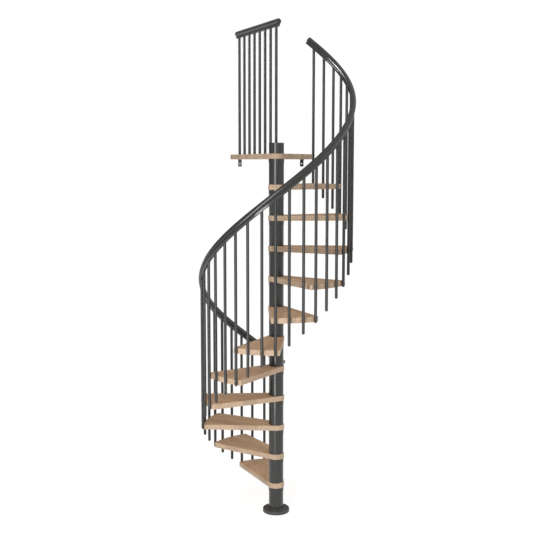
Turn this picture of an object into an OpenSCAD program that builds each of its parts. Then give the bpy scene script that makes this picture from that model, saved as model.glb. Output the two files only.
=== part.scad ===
// Spiral staircase: wooden treads and landing on a steel pole, steel balusters and handrail.
// The origin is on the floor at the pole's axis, +Z is up, and sizes are in millimetres.
// The stair climbs counter-clockwise as seen from above.

/* [Steps] */
// Height of one step, from tread top to tread top
rise = 235.5; // [215:0.5:250]
// Height of the first tread's top above the floor
first_rise = 242; // [225:0.5:260]
// Turn of one step about the pole, in degrees
step_angle = 29.85; // [27:0.05:32]
// Number of treads below the landing
tread_count = 11; // [8:1:12]
// Direction of the first tread's nosing baluster, in degrees
start_angle = 88.7; // [80:0.1:100]
// Thickness of the treads and of the landing
tread_t = 40; // [30:1:50]
// Turn of a tread in front of its nosing baluster, in degrees
nosing_lap = 3.3; // [2:0.1:4]
// Turn of a tread behind its rear baluster, in degrees
rear_lap = 3.3; // [2:0.1:4]
// Radius of the outer corners of the treads and the landing
corner_r = 9; // [4:1:20]

/* [Pole] */
// Outer diameter of the spacer sleeves
sleeve_d = 115; // [90:1:118]
// Wall of the spacer sleeves
sleeve_wall = 3; // [2:0.5:6]
// Step of the collar that ends each sleeve, on the radius
collar_step = 2; // [1:0.5:4]
// Height of the collar that ends each sleeve
collar_h = 34; // [20:1:60]
// Step of the round tread end past the collar, on the radius
hub_step = 3.5; // [2:0.5:12]
// Diameter of the tube inside the sleeves
core_d = 60; // [40:1:76]
// Wall of the tube inside the sleeves
core_wall = 4; // [2:0.5:8]
// Height of the pole above the landing
top_h = 82; // [50:1:140]
// Thickness of the plate that closes the pole
cap_t = 6; // [3:1:12]
// Diameter of the base flange
flange_d = 210; // [190:1:260]
// Thickness of the base flange
flange_t = 27; // [12:1:32]
// Bolt circle of the base flange
bolt_circle = 168; // [160:1:176]
// Diameter of the bolt holes in the base flange
bolt_hole_d = 12; // [8:0.5:14]
// Direction of the first bolt hole, in degrees
bolt_turn = 258; // [220:1:300]

/* [Railing] */
// Radius of the circle on which the balusters stand
baluster_circle = 580; // [520:1:700]
// Diameter of a baluster
baluster_d = 22; // [16:0.5:26]
// Balusters to a step
balusters_per_step = 3; // [2:1:4]
// Distance between the side balusters of a tread, as a share of even spacing
side_spread = 1.05; // [0.9:0.01:1.15]
// Drop of the balusters' lower ends below the treads
rod_drop = 6.5; // [4:0.5:20]
// Height of the handrail's axis above a tread's nosing
rail_h = 885; // [800:1:1000]
// Diameter of the handrail
rail_d = 44; // [40:1:54]
// Depth of the handrail's flat underside below its axis
rail_flat = 18; // [12:0.5:19]
// Width of the bar under the handrail
bar_w = 22; // [18:1:26]
// Height of the bar under the handrail
bar_h = 19; // [12:0.5:28]
// Turn of the handrail past the first baluster, in degrees
rail_lead = 6.7; // [3:0.1:10]
// Turn of the handrail past the last baluster, in degrees
rail_tail = 4.7; // [3:0.1:10]
// Length of the rounded caps on the handrail's ends
rail_cap = 8; // [4:1:14]
// Diameter of the plate under the first baluster
start_plate_d = 56; // [40:1:80]
// Thickness of that plate
start_plate_t = 4; // [3:0.5:10]

/* [Landing] */
// Distance from the pole's axis to the landing's back edge
landing_depth = 720; // [640:1:900]
// Distance from the pole's axis to the landing's left corner
landing_left = 369; // [340:1:520]
// Height of the landing rail's top above the landing
landing_rail_h = 1016; // [900:1:1100]
// Direction of the landing rail, in degrees
landing_rail_turn = 114.8; // [112:0.1:118]
// Balusters under the landing rail
landing_baluster_count = 8; // [6:1:9]
// Gap between the pole and the first landing baluster
landing_pole_gap = 8.5; // [6:0.5:30]
// Gap between the last landing baluster and the back edge
landing_back_gap = 9; // [6:0.5:30]
// Run of the landing rail past its end balusters
landing_rail_over = 48; // [20:1:60]

/* [Brackets] */
// Width of a wall bracket
bracket_w = 30; // [24:1:50]
// Thickness of a wall bracket
bracket_t = 5; // [3:0.5:8]
// Reach of a wall bracket under the landing
bracket_reach = 60; // [40:1:90]
// Drop of a wall bracket below the landing
bracket_drop = 60; // [46:1:90]
// Depth of the bracket's bolt hole below the landing
bracket_hole_drop = 35; // [26:1:38]
// Diameter of the bracket's bolt hole
bracket_hole_d = 10; // [6:0.5:12]
// Distance from the landing's left corner to the first bracket
bracket_inset = 82; // [60:1:110]
// Distance between the two brackets
bracket_spacing = 522; // [420:1:540]

/* [Fits] */
// Clearance between curved faces that meet
seat_gap = 0.3; // [0.2:0.05:0.5]

/* [Hidden] */
$fn = 96;
// A round end or corner stands this far proud of its straight edges, so that they cross it cleanly
corner_relief = 0.02;
wood = "#c6a27c";
steel = "#4a4846";
black = "#262524";

sleeve_r = sleeve_d / 2;
collar_r = sleeve_r + collar_step;
hub_r = collar_r + hub_step;
core_r = core_d / 2;
core_bore_r = core_r + seat_gap;
baluster_r = baluster_d / 2;
rail_r = rail_d / 2;
tread_r = baluster_circle - baluster_r - seat_gap;

landing_no = tread_count + 1;
landing_top = tread_top(landing_no);
landing_angle = start_angle + tread_count * step_angle;
pole_top = landing_top + top_h;

// Turn from one side baluster of a tread to the next
side_pitch = side_spread * step_angle / balusters_per_step;

// Angle of a straight tread edge's normal: the edge touches the hub circle and ends on the outer arc
edge_lean = acos(hub_r / tread_r);

// Handrail: a helix on the baluster circle, with its section square to its run
slope = atan(rise / (baluster_circle * step_angle * PI / 180));
bar_top = rail_flat + seat_gap;
bar_under = bar_top + bar_h;
rail_low = start_angle - rail_lead;
rail_high = landing_angle + rail_tail;
ring_step = 5;
ring_count = ceil((rail_high - rail_low) / ring_step);
rail_sides = 20;

// Landing outline and its railing
landing_right = baluster_circle * cos(landing_angle) - baluster_r - seat_gap;
landing_first_y = sleeve_r + landing_pole_gap + baluster_r;
landing_last_y = landing_depth - landing_back_gap - baluster_r;
landing_run = (landing_last_y - landing_first_y) / sin(landing_rail_turn);
landing_pitch = landing_run / (landing_baluster_count - 1);
landing_axis_z = landing_top + landing_rail_h - rail_r;
bracket_left = bracket_inset - landing_left;

function polar(r, a) = [r * cos(a), r * sin(a)];
function unit(v) = v / norm(v);

// Top of tread k
function tread_top(k) = first_rise + (k - 1) * rise;

// Angle of step k's baluster i: the first at the nosing, the others about the middle of the tread's side
function baluster_angle(k, i) =
    start_angle + (k - 1) * step_angle
    + (i == 0 ? 0 : step_angle / 2 + (i - balusters_per_step / 2) * side_pitch);

// Steps climbed at an angle, counted from the first nosing baluster
function steps_at(a) = (a - start_angle) / step_angle;

// Height of the handrail's axis, and of the balusters' lower ends, at an angle
function rail_z(a) = first_rise + steps_at(a) * rise + rail_h;
function baluster_foot_z(a) = first_rise + (steps_at(a) - 1) * rise - tread_t - rod_drop;

// Normal of the straight edge that ends on the outer arc at an angle: side is -1 in front, 1 behind
function edge_normal(a, side) = a + side * edge_lean;

// Centre of the circle that rounds the corner between that edge and the outer arc
function corner_centre(a, side) =
    polar(hub_r - corner_r, edge_normal(a, side))
    + polar(sqrt((tread_r - corner_r) ^ 2 - (hub_r - corner_r) ^ 2), edge_normal(a, side) - side * 90);

// Point on that edge at a distance from where it touches the hub circle
function edge_point(a, side, run) =
    polar(hub_r, edge_normal(a, side)) + polar(run, edge_normal(a, side) - side * 90);

// Point of the handrail's section at an angle: x points outwards, y squarely up from the rail
function rail_point(a, p) =
    (baluster_circle + p.x) * [cos(a), sin(a), 0]
    + p.y * [sin(slope) * sin(a), -sin(slope) * cos(a), cos(slope)]
    + [0, 0, rail_z(a)];

// Closed solid that carries a section along the handrail's helix
module rail_sweep(section) {
    n = len(section);
    points = [
        for (i = [0:ring_count], p = section)
            rail_point(rail_low + (rail_high - rail_low) * i / ring_count, p)
    ];
    sides = [
        for (i = [0:ring_count - 1], j = [0:n - 1], half = [0, 1])
            let (a = i * n + j, b = i * n + (j + 1) % n)
            half == 0 ? [a, b, b + n] : [a, b + n, a + n]
    ];
    first = [for (j = [n - 1:-1:0]) j];
    last = [for (j = [0:n - 1]) ring_count * n + j];
    polyhedron(points, concat([first], sides, [last]), convexity = 8);
}

// Frame on the handrail's axis: x outwards, y up along the rail, z squarely up from it
module at_rail(a) {
    rotate([0, 0, a])
        translate([baluster_circle, 0, rail_z(a)])
            rotate([slope, 0, 0])
                children();
}

// Waste outside a rounded corner with its centre at c, between the outward normals of the two edges
module corner_waste(c, out1, out2) {
    difference() {
        polygon([
            c, c + 1.5 * corner_r * out1, c + 3 * corner_r * unit(out1 + out2), c + 1.5 * corner_r * out2
        ]);
        translate(c) circle(corner_r + corner_relief);
    }
}

// Waste at the outer end of a tread's straight edge
module arc_corner_waste(a, side) {
    c = corner_centre(a, side);
    corner_waste(c, polar(1, edge_normal(a, side)), unit(c));
}

// Waste at a corner between two straight edges
module straight_corner_waste(before, corner, after) {
    d1 = unit(before - corner);
    d2 = unit(after - corner);
    half = acos(d1 * d2) / 2;
    c = corner + unit(d1 + d2) * corner_r / sin(half);
    reach = corner_r / tan(half);
    corner_waste(c, unit(corner + d1 * reach - c), unit(corner + d2 * reach - c));
}

// Plan of a tread between the outer ends of its two edges
module tread_plan(front, rear) {
    reach = 1.1 * tread_r;
    middle = (front + rear) / 2;
    difference() {
        union() {
            circle(hub_r + corner_relief);
            intersection() {
                circle(tread_r);
                polygon([
                    edge_point(front, -1, 0), edge_point(front, -1, reach), polar(1.2 * reach, middle),
                    edge_point(rear, 1, reach), edge_point(rear, 1, 0)
                ]);
            }
        }
        arc_corner_waste(front, -1);
        arc_corner_waste(rear, 1);
        circle(core_bore_r);
    }
}

module tread(k) {
    front = baluster_angle(k, 0) - nosing_lap;
    rear = baluster_angle(k + 1, 0) + rear_lap;
    color(wood)
        translate([0, 0, tread_top(k) - tread_t])
            linear_extrude(tread_t)
                tread_plan(front, rear);
}

// The landing's right side runs straight back past the last baluster of the stair
module landing() {
    front = landing_angle - nosing_lap;
    edge_start = edge_point(front, -1, 0);
    edge_run = edge_point(front, -1, 1) - edge_start;
    nose = edge_start + edge_run * (landing_right - edge_start.x) / edge_run.x;
    back_right = [landing_right, landing_depth];
    back_left = [-landing_left, landing_depth];
    left_turn = atan2(landing_depth, -landing_left);
    left_normal = left_turn + acos(hub_r / norm(back_left));
    left_start = polar(hub_r, left_normal);
    color(wood)
        translate([0, 0, landing_top - tread_t])
            linear_extrude(tread_t)
                difference() {
                    union() {
                        circle(hub_r + corner_relief);
                        polygon([edge_start, nose, back_right, back_left, left_start]);
                    }
                    straight_corner_waste(edge_start, nose, back_right);
                    straight_corner_waste(nose, back_right, back_left);
                    straight_corner_waste(back_right, back_left, left_start);
                    circle(core_bore_r);
                }
}

// Plain disc with a softened upper edge and its bolt holes
module base_flange() {
    edge = flange_t / 4;
    color(steel)
        difference() {
            rotate_extrude()
                polygon([
                    [0, 0], [flange_d / 2, 0], [flange_d / 2, flange_t - edge],
                    [flange_d / 2 - edge, flange_t], [0, flange_t]
                ]);
            for (turn = [0, 90, 180, 270])
                rotate([0, 0, bolt_turn + turn])
                    translate([bolt_circle / 2, 0, -flange_t])
                        cylinder(d = bolt_hole_d, h = 3 * flange_t);
        }
}

module centre_tube() {
    color(steel)
        translate([0, 0, flange_t])
            linear_extrude(pole_top - cap_t - flange_t)
                difference() {
                    circle(core_r);
                    circle(core_r - core_wall);
                }
}

// Spacer under tread k, with a collar that carries the tread
module sleeve(k) {
    low = k == 1 ? flange_t : tread_top(k - 1);
    high = tread_top(k) - tread_t;
    color(steel)
        difference() {
            union() {
                translate([0, 0, low]) cylinder(r = sleeve_r, h = high - low);
                translate([0, 0, high - collar_h]) cylinder(r = collar_r, h = collar_h);
            }
            translate([0, 0, low - rise]) cylinder(r = sleeve_r - sleeve_wall, h = high - low + 2 * rise);
        }
}

// End of the pole above the landing, closed by a plate
module top_sleeve() {
    color(steel)
        translate([0, 0, landing_top])
            difference() {
                cylinder(r = sleeve_r, h = top_h);
                translate([0, 0, -cap_t]) cylinder(r = sleeve_r - sleeve_wall, h = top_h);
            }
}

// Rod from a height up to the underside of the handrail's bar
module rod(a, low) {
    keep_out = 4 * (bar_under + baluster_d);
    difference() {
        rotate([0, 0, a])
            translate([baluster_circle, 0, low])
                cylinder(r = baluster_r, h = rail_z(a) - low);
        at_rail(a)
            translate([-keep_out / 2, -keep_out / 2, -bar_under - seat_gap])
                cube(keep_out);
    }
}

// Baluster fixed to the sides of the treads, with a round lower end
module side_baluster(a) {
    low = baluster_foot_z(a) + baluster_r;
    union() {
        rod(a, low);
        rotate([0, 0, a]) translate([baluster_circle, 0, low]) sphere(baluster_r);
    }
}

// A step's baluster at the nosing, which also passes the lower tread's rear corner, and its side ones.
// The first baluster of the stair stands on a plate on the floor.
module balusters(k) {
    color(steel) {
        if (k == 1)
            rod(start_angle, start_plate_t);
        for (i = [k == 1 ? 1 : 0:balusters_per_step - 1])
            side_baluster(baluster_angle(k, i));
    }
}

module top_baluster() {
    color(steel) side_baluster(landing_angle);
}

module start_plate() {
    color(steel)
        rotate([0, 0, start_angle])
            translate([baluster_circle, 0, 0])
                cylinder(d = start_plate_d, h = start_plate_t);
}

module handrail() {
    flat = asin(rail_flat / rail_r);
    section = [
        for (i = [0:rail_sides])
            polar(rail_r, -flat + (180 + 2 * flat) * i / rail_sides)
    ];
    color(steel) rail_sweep(section);
}

module handrail_bar() {
    section = [
        [-bar_w / 2, -bar_under], [bar_w / 2, -bar_under],
        [bar_w / 2, -bar_top], [-bar_w / 2, -bar_top]
    ];
    color(steel) rail_sweep(section);
}

// Domed end cap of a rail along +Y, cut flat below like the rail
module rail_end_cap() {
    dome_r = (rail_r ^ 2 + rail_cap ^ 2) / (2 * rail_cap);
    difference() {
        translate([0, rail_cap - dome_r, 0]) sphere(dome_r);
        translate([-2 * dome_r, -4 * dome_r, -2 * dome_r]) cube(4 * dome_r);
        translate([-rail_d, -rail_d, -rail_flat - rail_d]) cube([2 * rail_d, 2 * rail_d, rail_d]);
    }
}

module handrail_cap_low() {
    color(steel) at_rail(rail_low) rotate([0, 0, 180]) rail_end_cap();
}

module handrail_cap_high() {
    color(steel) at_rail(rail_high) rail_end_cap();
}

// Frame at the first landing baluster: x runs along the landing rail
module at_landing_rail(z) {
    translate([0, landing_first_y, z])
        rotate([0, 0, landing_rail_turn])
            children();
}

// Straight rail with the same domed ends
module landing_rail() {
    over = landing_rail_over - rail_cap;
    length = landing_run + 2 * over;
    color(steel)
        at_landing_rail(landing_axis_z)
            translate([-over, 0, 0])
                union() {
                    difference() {
                        rotate([0, 90, 0]) cylinder(r = rail_r, h = length);
                        translate([-length, -rail_d, -rail_flat - rail_d])
                            cube([3 * length, 2 * rail_d, rail_d]);
                    }
                    rotate([0, 0, 90]) rail_end_cap();
                    translate([length, 0, 0]) rotate([0, 0, -90]) rail_end_cap();
                }
}

module landing_rail_bar() {
    over = landing_rail_over - rail_cap;
    color(steel)
        at_landing_rail(landing_axis_z)
            translate([-over, -bar_w / 2, -bar_under])
                cube([landing_run + 2 * over, bar_w, bar_h]);
}

module landing_balusters() {
    color(steel)
        at_landing_rail(landing_top)
            for (i = [0:landing_baluster_count - 1])
                translate([i * landing_pitch, 0, 0])
                    cylinder(r = baluster_r, h = landing_axis_z - bar_under - landing_top);
}

// Angle bracket under the landing's back edge, bolted to the wall or floor edge behind it
module bracket() {
    union() {
        translate([-bracket_w / 2, -bracket_reach, -bracket_t])
            cube([bracket_w, bracket_reach, bracket_t]);
        difference() {
            translate([-bracket_w / 2, -bracket_t, -bracket_drop])
                cube([bracket_w, bracket_t, bracket_drop]);
            translate([0, bracket_t, -bracket_hole_drop])
                rotate([90, 0, 0])
                    cylinder(d = bracket_hole_d, h = 3 * bracket_t);
        }
    }
}

module landing_brackets() {
    color(black)
        for (x = [bracket_left, bracket_left + bracket_spacing])
            translate([x, landing_depth, landing_top - tread_t])
                bracket();
}

base_flange();
centre_tube();
for (k = [1:landing_no])
    sleeve(k);
top_sleeve();
for (k = [1:tread_count])
    tread(k);
landing();
for (k = [1:tread_count])
    balusters(k);
top_baluster();
start_plate();
handrail();
handrail_bar();
handrail_cap_low();
handrail_cap_high();
landing_rail();
landing_rail_bar();
landing_balusters();
landing_brackets();
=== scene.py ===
"""Spiral staircase for a studio picture: oak treads on a coated steel pole, balusters and handrail."""

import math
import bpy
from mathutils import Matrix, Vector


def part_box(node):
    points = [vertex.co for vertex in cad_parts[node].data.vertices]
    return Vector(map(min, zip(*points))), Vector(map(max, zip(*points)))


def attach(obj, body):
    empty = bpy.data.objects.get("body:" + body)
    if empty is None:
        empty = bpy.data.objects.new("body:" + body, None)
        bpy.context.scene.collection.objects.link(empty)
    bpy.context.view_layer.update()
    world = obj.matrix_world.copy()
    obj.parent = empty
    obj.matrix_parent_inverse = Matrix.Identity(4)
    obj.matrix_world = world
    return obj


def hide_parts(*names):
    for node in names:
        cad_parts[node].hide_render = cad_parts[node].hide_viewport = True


bl_info = {
    "name": "Spiral Staircase",
    "version": (1, 0, 0),
    "blender": (4, 5, 0),
    "location": "View3D > Sidebar > Staircase",
    "description": "Models and finishes a spiral staircase of oak treads and coated steel",
    "category": "Object",
}

import bmesh
import bpy
from bpy.props import FloatProperty, FloatVectorProperty, IntProperty, PointerProperty
from mathutils import Matrix, Vector

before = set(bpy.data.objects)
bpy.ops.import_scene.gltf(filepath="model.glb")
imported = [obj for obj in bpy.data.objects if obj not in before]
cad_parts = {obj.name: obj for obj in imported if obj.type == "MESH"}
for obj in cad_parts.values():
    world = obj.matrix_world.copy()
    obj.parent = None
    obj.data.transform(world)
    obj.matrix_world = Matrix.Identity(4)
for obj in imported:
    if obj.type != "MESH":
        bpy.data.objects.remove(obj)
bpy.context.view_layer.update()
BODY = "root"
FULL_TURN = math.tau
UP = Vector((0, 0, 1))
# Points closer than this are one point, in metres
MERGE = 1e-5
# Faces that turn less than this against each other are one flat face
FLAT_ANGLE = math.radians(0.1)
# Level edges of a board that turn more than this are its rim, in radians
RIM_ANGLE = 1
# Edges that turn more than this look sharp
SHARP_ANGLE = math.radians(40)
# Turn of the handrail from one of its sections to the next
RAIL_STEP = math.radians(2.5)
# Flats around each round piece
POLE_SIDES = 96
FLANGE_SIDES = 128
PLATE_SIDES = 48
BORE_SIDES = 48
ROD_SIDES = 24
RAIL_SIDES = 32
BOLT_SIDES = 32
SCREW_SIDES = 16
# Flats along an arc: a tread's end at the pole, its outer edge, an eased edge, a wide rounding, a bend
HUB_FLATS = 36
RIM_FLATS = 20
EASE_FLATS = 3
ROUND_FLATS = 6
BEND_FLATS = 5
# Cuts in each side of the square around a bracket's hole, which give the hole 24 flats
HOLE_CUTS = 5
BOLT_COUNT = 4
# Depth that a screw head reaches into what it holds, so that no gap shows, in metres
HEAD_SINK = 0.0005
# Rings that dome the end of a rail, as shares of the rail's radius
DOME_RINGS = (1.0, 0.94, 0.83, 0.66, 0.42, 0.18)
# Screws of a bracket along its level leg, as shares of that leg
BRACKET_SCREWS = (0.35, 0.8)
# Places of the boards in the staves' pattern, in metres: the shift from tread to tread, the landing's
TREAD_STAVES = (0.83, 0.217, 0.13)
LANDING_STAVES = (0.4, 0.11, 0)
# Half the floor's width, in metres
FLOOR_HALF = 60
# Width of the camera's sensor, in millimetres
SENSOR_W = 36
# Where the surround is brightest as seen from the stair: in front, to the right and above
BRIGHT_SIDE = (0.33, -0.5, 0.3)


def box_size(node):
    """Size of a node's box."""
    low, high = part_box(node)
    return high - low


def box_middle(node):
    """Middle of a node's box."""
    low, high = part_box(node)
    return (low + high) / 2


# Sizes that the frame gives, in metres and radians
STEP_COUNT = sum(name.startswith("tread_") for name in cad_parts)
FIRST_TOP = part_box("tread_1")[1].z
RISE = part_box("tread_2")[1].z - FIRST_TOP
TREAD_T = box_size("tread_1").z
LANDING_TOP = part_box("landing")[1].z
SLEEVE_R = box_size("top_sleeve").x / 2
COLLAR_R = box_size("sleeve_2").x / 2
CORE_R = box_size("centre_tube").x / 2
FLANGE_R = box_size("base_flange").x / 2
FLANGE_T = box_size("base_flange").z
ROD_R = box_size("top_baluster").x / 2
ROD_CIRCLE = box_middle("top_baluster").xy.length
LANDING_ANGLE = FULL_TURN + math.atan2(box_middle("top_baluster").y, box_middle("top_baluster").x)
LANDING_RAIL_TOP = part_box("landing_rail")[1].z
# Turn of a step, repeated from the part's source because no box gives it
STEP_ANGLE = math.radians(29.85)
START_ANGLE = LANDING_ANGLE - STEP_COUNT * STEP_ANGLE


def hex_colour(code):
    """Linear red, green and blue of an sRGB hex colour."""
    levels = (int(code[i:i + 2], 16) / 255 for i in (1, 3, 5))
    return tuple(c / 12.92 if c <= 0.04045 else ((c + 0.055) / 1.055) ** 2.4 for c in levels)


def length(name, description, default):
    """A length that a user can change, in metres."""
    return FloatProperty(
        name=name, description=description, default=default, min=0, precision=4,
        subtype="DISTANCE", unit="LENGTH",
    )


def rotation(name, description, degrees):
    """An angle that a user can change, from its degrees."""
    return FloatProperty(
        name=name, description=description, default=math.radians(degrees),
        subtype="ANGLE", unit="ROTATION",
    )


def power(name, description, default):
    """Power of a light that a user can change, in watts."""
    return FloatProperty(
        name=name, description=description, default=default, min=0, subtype="POWER", unit="POWER",
    )


def colour(name, description, code):
    """A colour that a user can change, from its sRGB hex value."""
    return FloatVectorProperty(
        name=name, description=description, default=hex_colour(code), min=0, max=1,
        size=3, subtype="COLOR",
    )


class StairSizes(bpy.types.PropertyGroup):
    """Sizes of the modelled pieces"""

    nosing_lap: rotation("Nosing lap", "Turn of a tread in front of its corner baluster", 3.3)
    rear_lap: rotation("Rear lap", "Turn of a tread behind its rear baluster", 3.3)
    hub_r: length("Hub radius", "Radius of the round tread ends at the pole", COLLAR_R + 0.0035)
    corner_r: length("Corner radius", "Radius of the treads' outer corners", 0.009)
    wood_ease: length("Eased wood edge", "Rounding of the treads' upper and lower edges", 0.003)
    steel_ease: length("Eased steel edge", "Rounding of the sleeves' edges", 0.001)
    sleeve_wall: length("Sleeve wall", "Wall of the spacer sleeves", 0.003)
    collar_h: length("Collar height", "Height of the collar under each tread", 0.034)
    pole_lid: length("Pole lid", "Thickness of the lid in the pole's upper end", 0.006)
    flange_round: length("Flange edge", "Rounding of the base flange's upper edge", 0.007)
    weld: length("Weld", "Radius of the ground weld between the flange and the pole", 0.008)
    bolt_circle: length("Bolt circle", "Diameter of the circle of the flange's bolts", 0.168)
    bolt_d: length("Bolt head", "Diameter of the flange's bolt heads", 0.020)
    bolt_turn: rotation("Bolt turn", "Angle of the flange's first bolt", 258)
    rods_per_step: IntProperty(
        name="Balusters to a step", description="Balusters from one nosing to the next",
        default=3, min=2, max=4,
    )
    side_spread: FloatProperty(
        name="Side spread",
        description="Distance between a tread's side balusters, as a share of even spacing",
        default=1.05, min=0.8, max=1.2, subtype="FACTOR",
    )
    rod_drop: length("Baluster drop", "Drop of the balusters' lower ends below the treads", 0.0065)
    seat_gap: length("Seat gap", "Clearance between curved faces that meet", 0.0003)
    rail_h: length("Rail height", "Height of the handrail's axis above a nosing", 0.885)
    rail_d: length("Rail diameter", "Diameter of the handrail", 0.044)
    rail_flat: length("Rail flat", "Depth of the handrail's flat underside below its axis", 0.018)
    rail_cap: length("Rail cap", "Length of the handrail's domed ends", 0.008)
    landing_left: length("Landing corner", "Distance of the landing's left corner from the pole", 0.369)
    landing_over: length("Landing rail end", "Length of the landing's rail past its balusters", 0.040)
    bar_w: length("Bar width", "Width of the bar under the handrail", 0.022)
    bar_h: length("Bar height", "Height of the bar under the handrail", 0.019)
    bar_ease: length("Bar edge", "Rounding of the bar's long edges", 0.002)
    rail_lead: rotation("Rail lead", "Turn of the handrail past the first baluster", 6.7)
    rail_tail: rotation("Rail tail", "Turn of the handrail past the last baluster", 4.7)
    plate_d: length("Floor plate", "Diameter of the plate under the first baluster", 0.056)
    plate_t: length("Plate thickness", "Thickness of that plate", 0.004)
    screw_d: length("Screw head", "Diameter of the pan-head screws", 0.008)
    bracket_w: length("Bracket width", "Width of a wall bracket", 0.030)
    bracket_t: length("Bracket thickness", "Thickness of a wall bracket", 0.005)
    bracket_bend: length("Bracket bend", "Outer bend radius of a wall bracket", 0.008)
    bracket_hole_d: length("Bracket hole", "Diameter of a wall bracket's bolt hole", 0.010)
    bracket_hole_drop: length("Bracket hole drop", "Depth of that hole below the landing", 0.035)


class StairFinish(bpy.types.PropertyGroup):
    """Colours and pattern sizes of the finishes"""

    oak_pale: colour("Pale oak", "Palest staves", "#C8A887")
    oak_mid: colour("Oak", "Most staves", "#BF9F80")
    oak_deep: colour("Deep oak", "Darkest staves", "#B19377")
    oak_pore: colour("Oak pores", "Pores and grain lines", "#7F654E")
    # Grey-blue tint multiplied over the upright sides: painted shade on them
    oak_side_shade: colour("Oak sides", "Tint over the sanded side faces", "#D6DFEB")
    stave_w: length("Stave width", "Width of a glued stave", 0.042)
    stave_l: length("Stave length", "Length of a glued stave", 0.34)
    coat: colour("Powder coat", "Anthracite coat of the pole and the bars", "#262625")
    matt_coat: colour("Matt coat", "Anthracite coat of the balusters", "#191918")
    # Lighter copy of the anthracite coat for the flange and its bolts: painted light over the shade at
    # the pole's foot
    flange_coat: colour("Flange coat", "Textured anthracite coat of the base flange", "#3A3A39")
    rail_coat: colour("Rail coat", "Anthracite coat of the rails", "#1B1B1A")
    black: colour("Black paint", "Paint of the wall brackets", "#1D1C1B")
    floor: colour("Floor", "Pale studio floor", "#868584")


class StairStudio(bpy.types.PropertyGroup):
    """Camera and light of the studio"""

    camera_place: FloatVectorProperty(
        name="Camera place", description="Where the camera stands",
        default=(-0.20283, -6.93362, 2.7482), size=3, subtype="TRANSLATION", unit="LENGTH",
    )
    camera_pitch: rotation("Camera pitch", "Tilt of the camera below the horizon", 6.545)
    camera_yaw: rotation("Camera yaw", "Turn of the camera towards the right", 1.142)
    lens: FloatProperty(
        name="Lens", description="Focal length of the camera, in millimetres", default=60.47, min=1,
        unit="CAMERA",
    )
    strip_power: power("Strip light", "Power of the upright strip light", 90)
    top_power: power("Top light", "Power of the light high on the left", 5)
    foot_power: power("Foot light", "Power of the small light near the floor", 0.65)
    front_power: power("Front light", "Power of the broad light beside the camera", 5)
    sky: FloatProperty(
        name="Surround",
        description="Brightness of the white surround in front, above and to the right",
        default=1.25, min=0,
    )
    sky_back: FloatProperty(
        name="Surround behind",
        description="Brightness of the white surround behind, below and to the left",
        default=0.18, min=0,
    )
    floor_glow: FloatProperty(
        name="Floor glow", description="Light that the floor itself gives off", default=0.80, min=0,
    )


# Node trees

def add_node(tree, kind, inputs=None, **settings):
    """Adds a node, sets its properties, and fills its inputs from values or from other sockets."""
    made = tree.nodes.new(kind)
    for name, value in settings.items():
        setattr(made, name, value)
    for name, value in (inputs or {}).items():
        if isinstance(value, bpy.types.NodeSocket):
            tree.links.new(value, made.inputs[name])
        else:
            made.inputs[name].default_value = value
    return made


def new_finish(name):
    """A material with an empty node tree, and that tree."""
    material = bpy.data.materials.new(name)
    material.use_nodes = True
    material.node_tree.nodes.clear()
    return material, material.node_tree


def rgba(value):
    """A colour with full opacity."""
    return (*value, 1)


def millimetres(size):
    """Noise scale that repeats about once in that many millimetres, on coordinates in metres."""
    return 1000 / size


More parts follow.
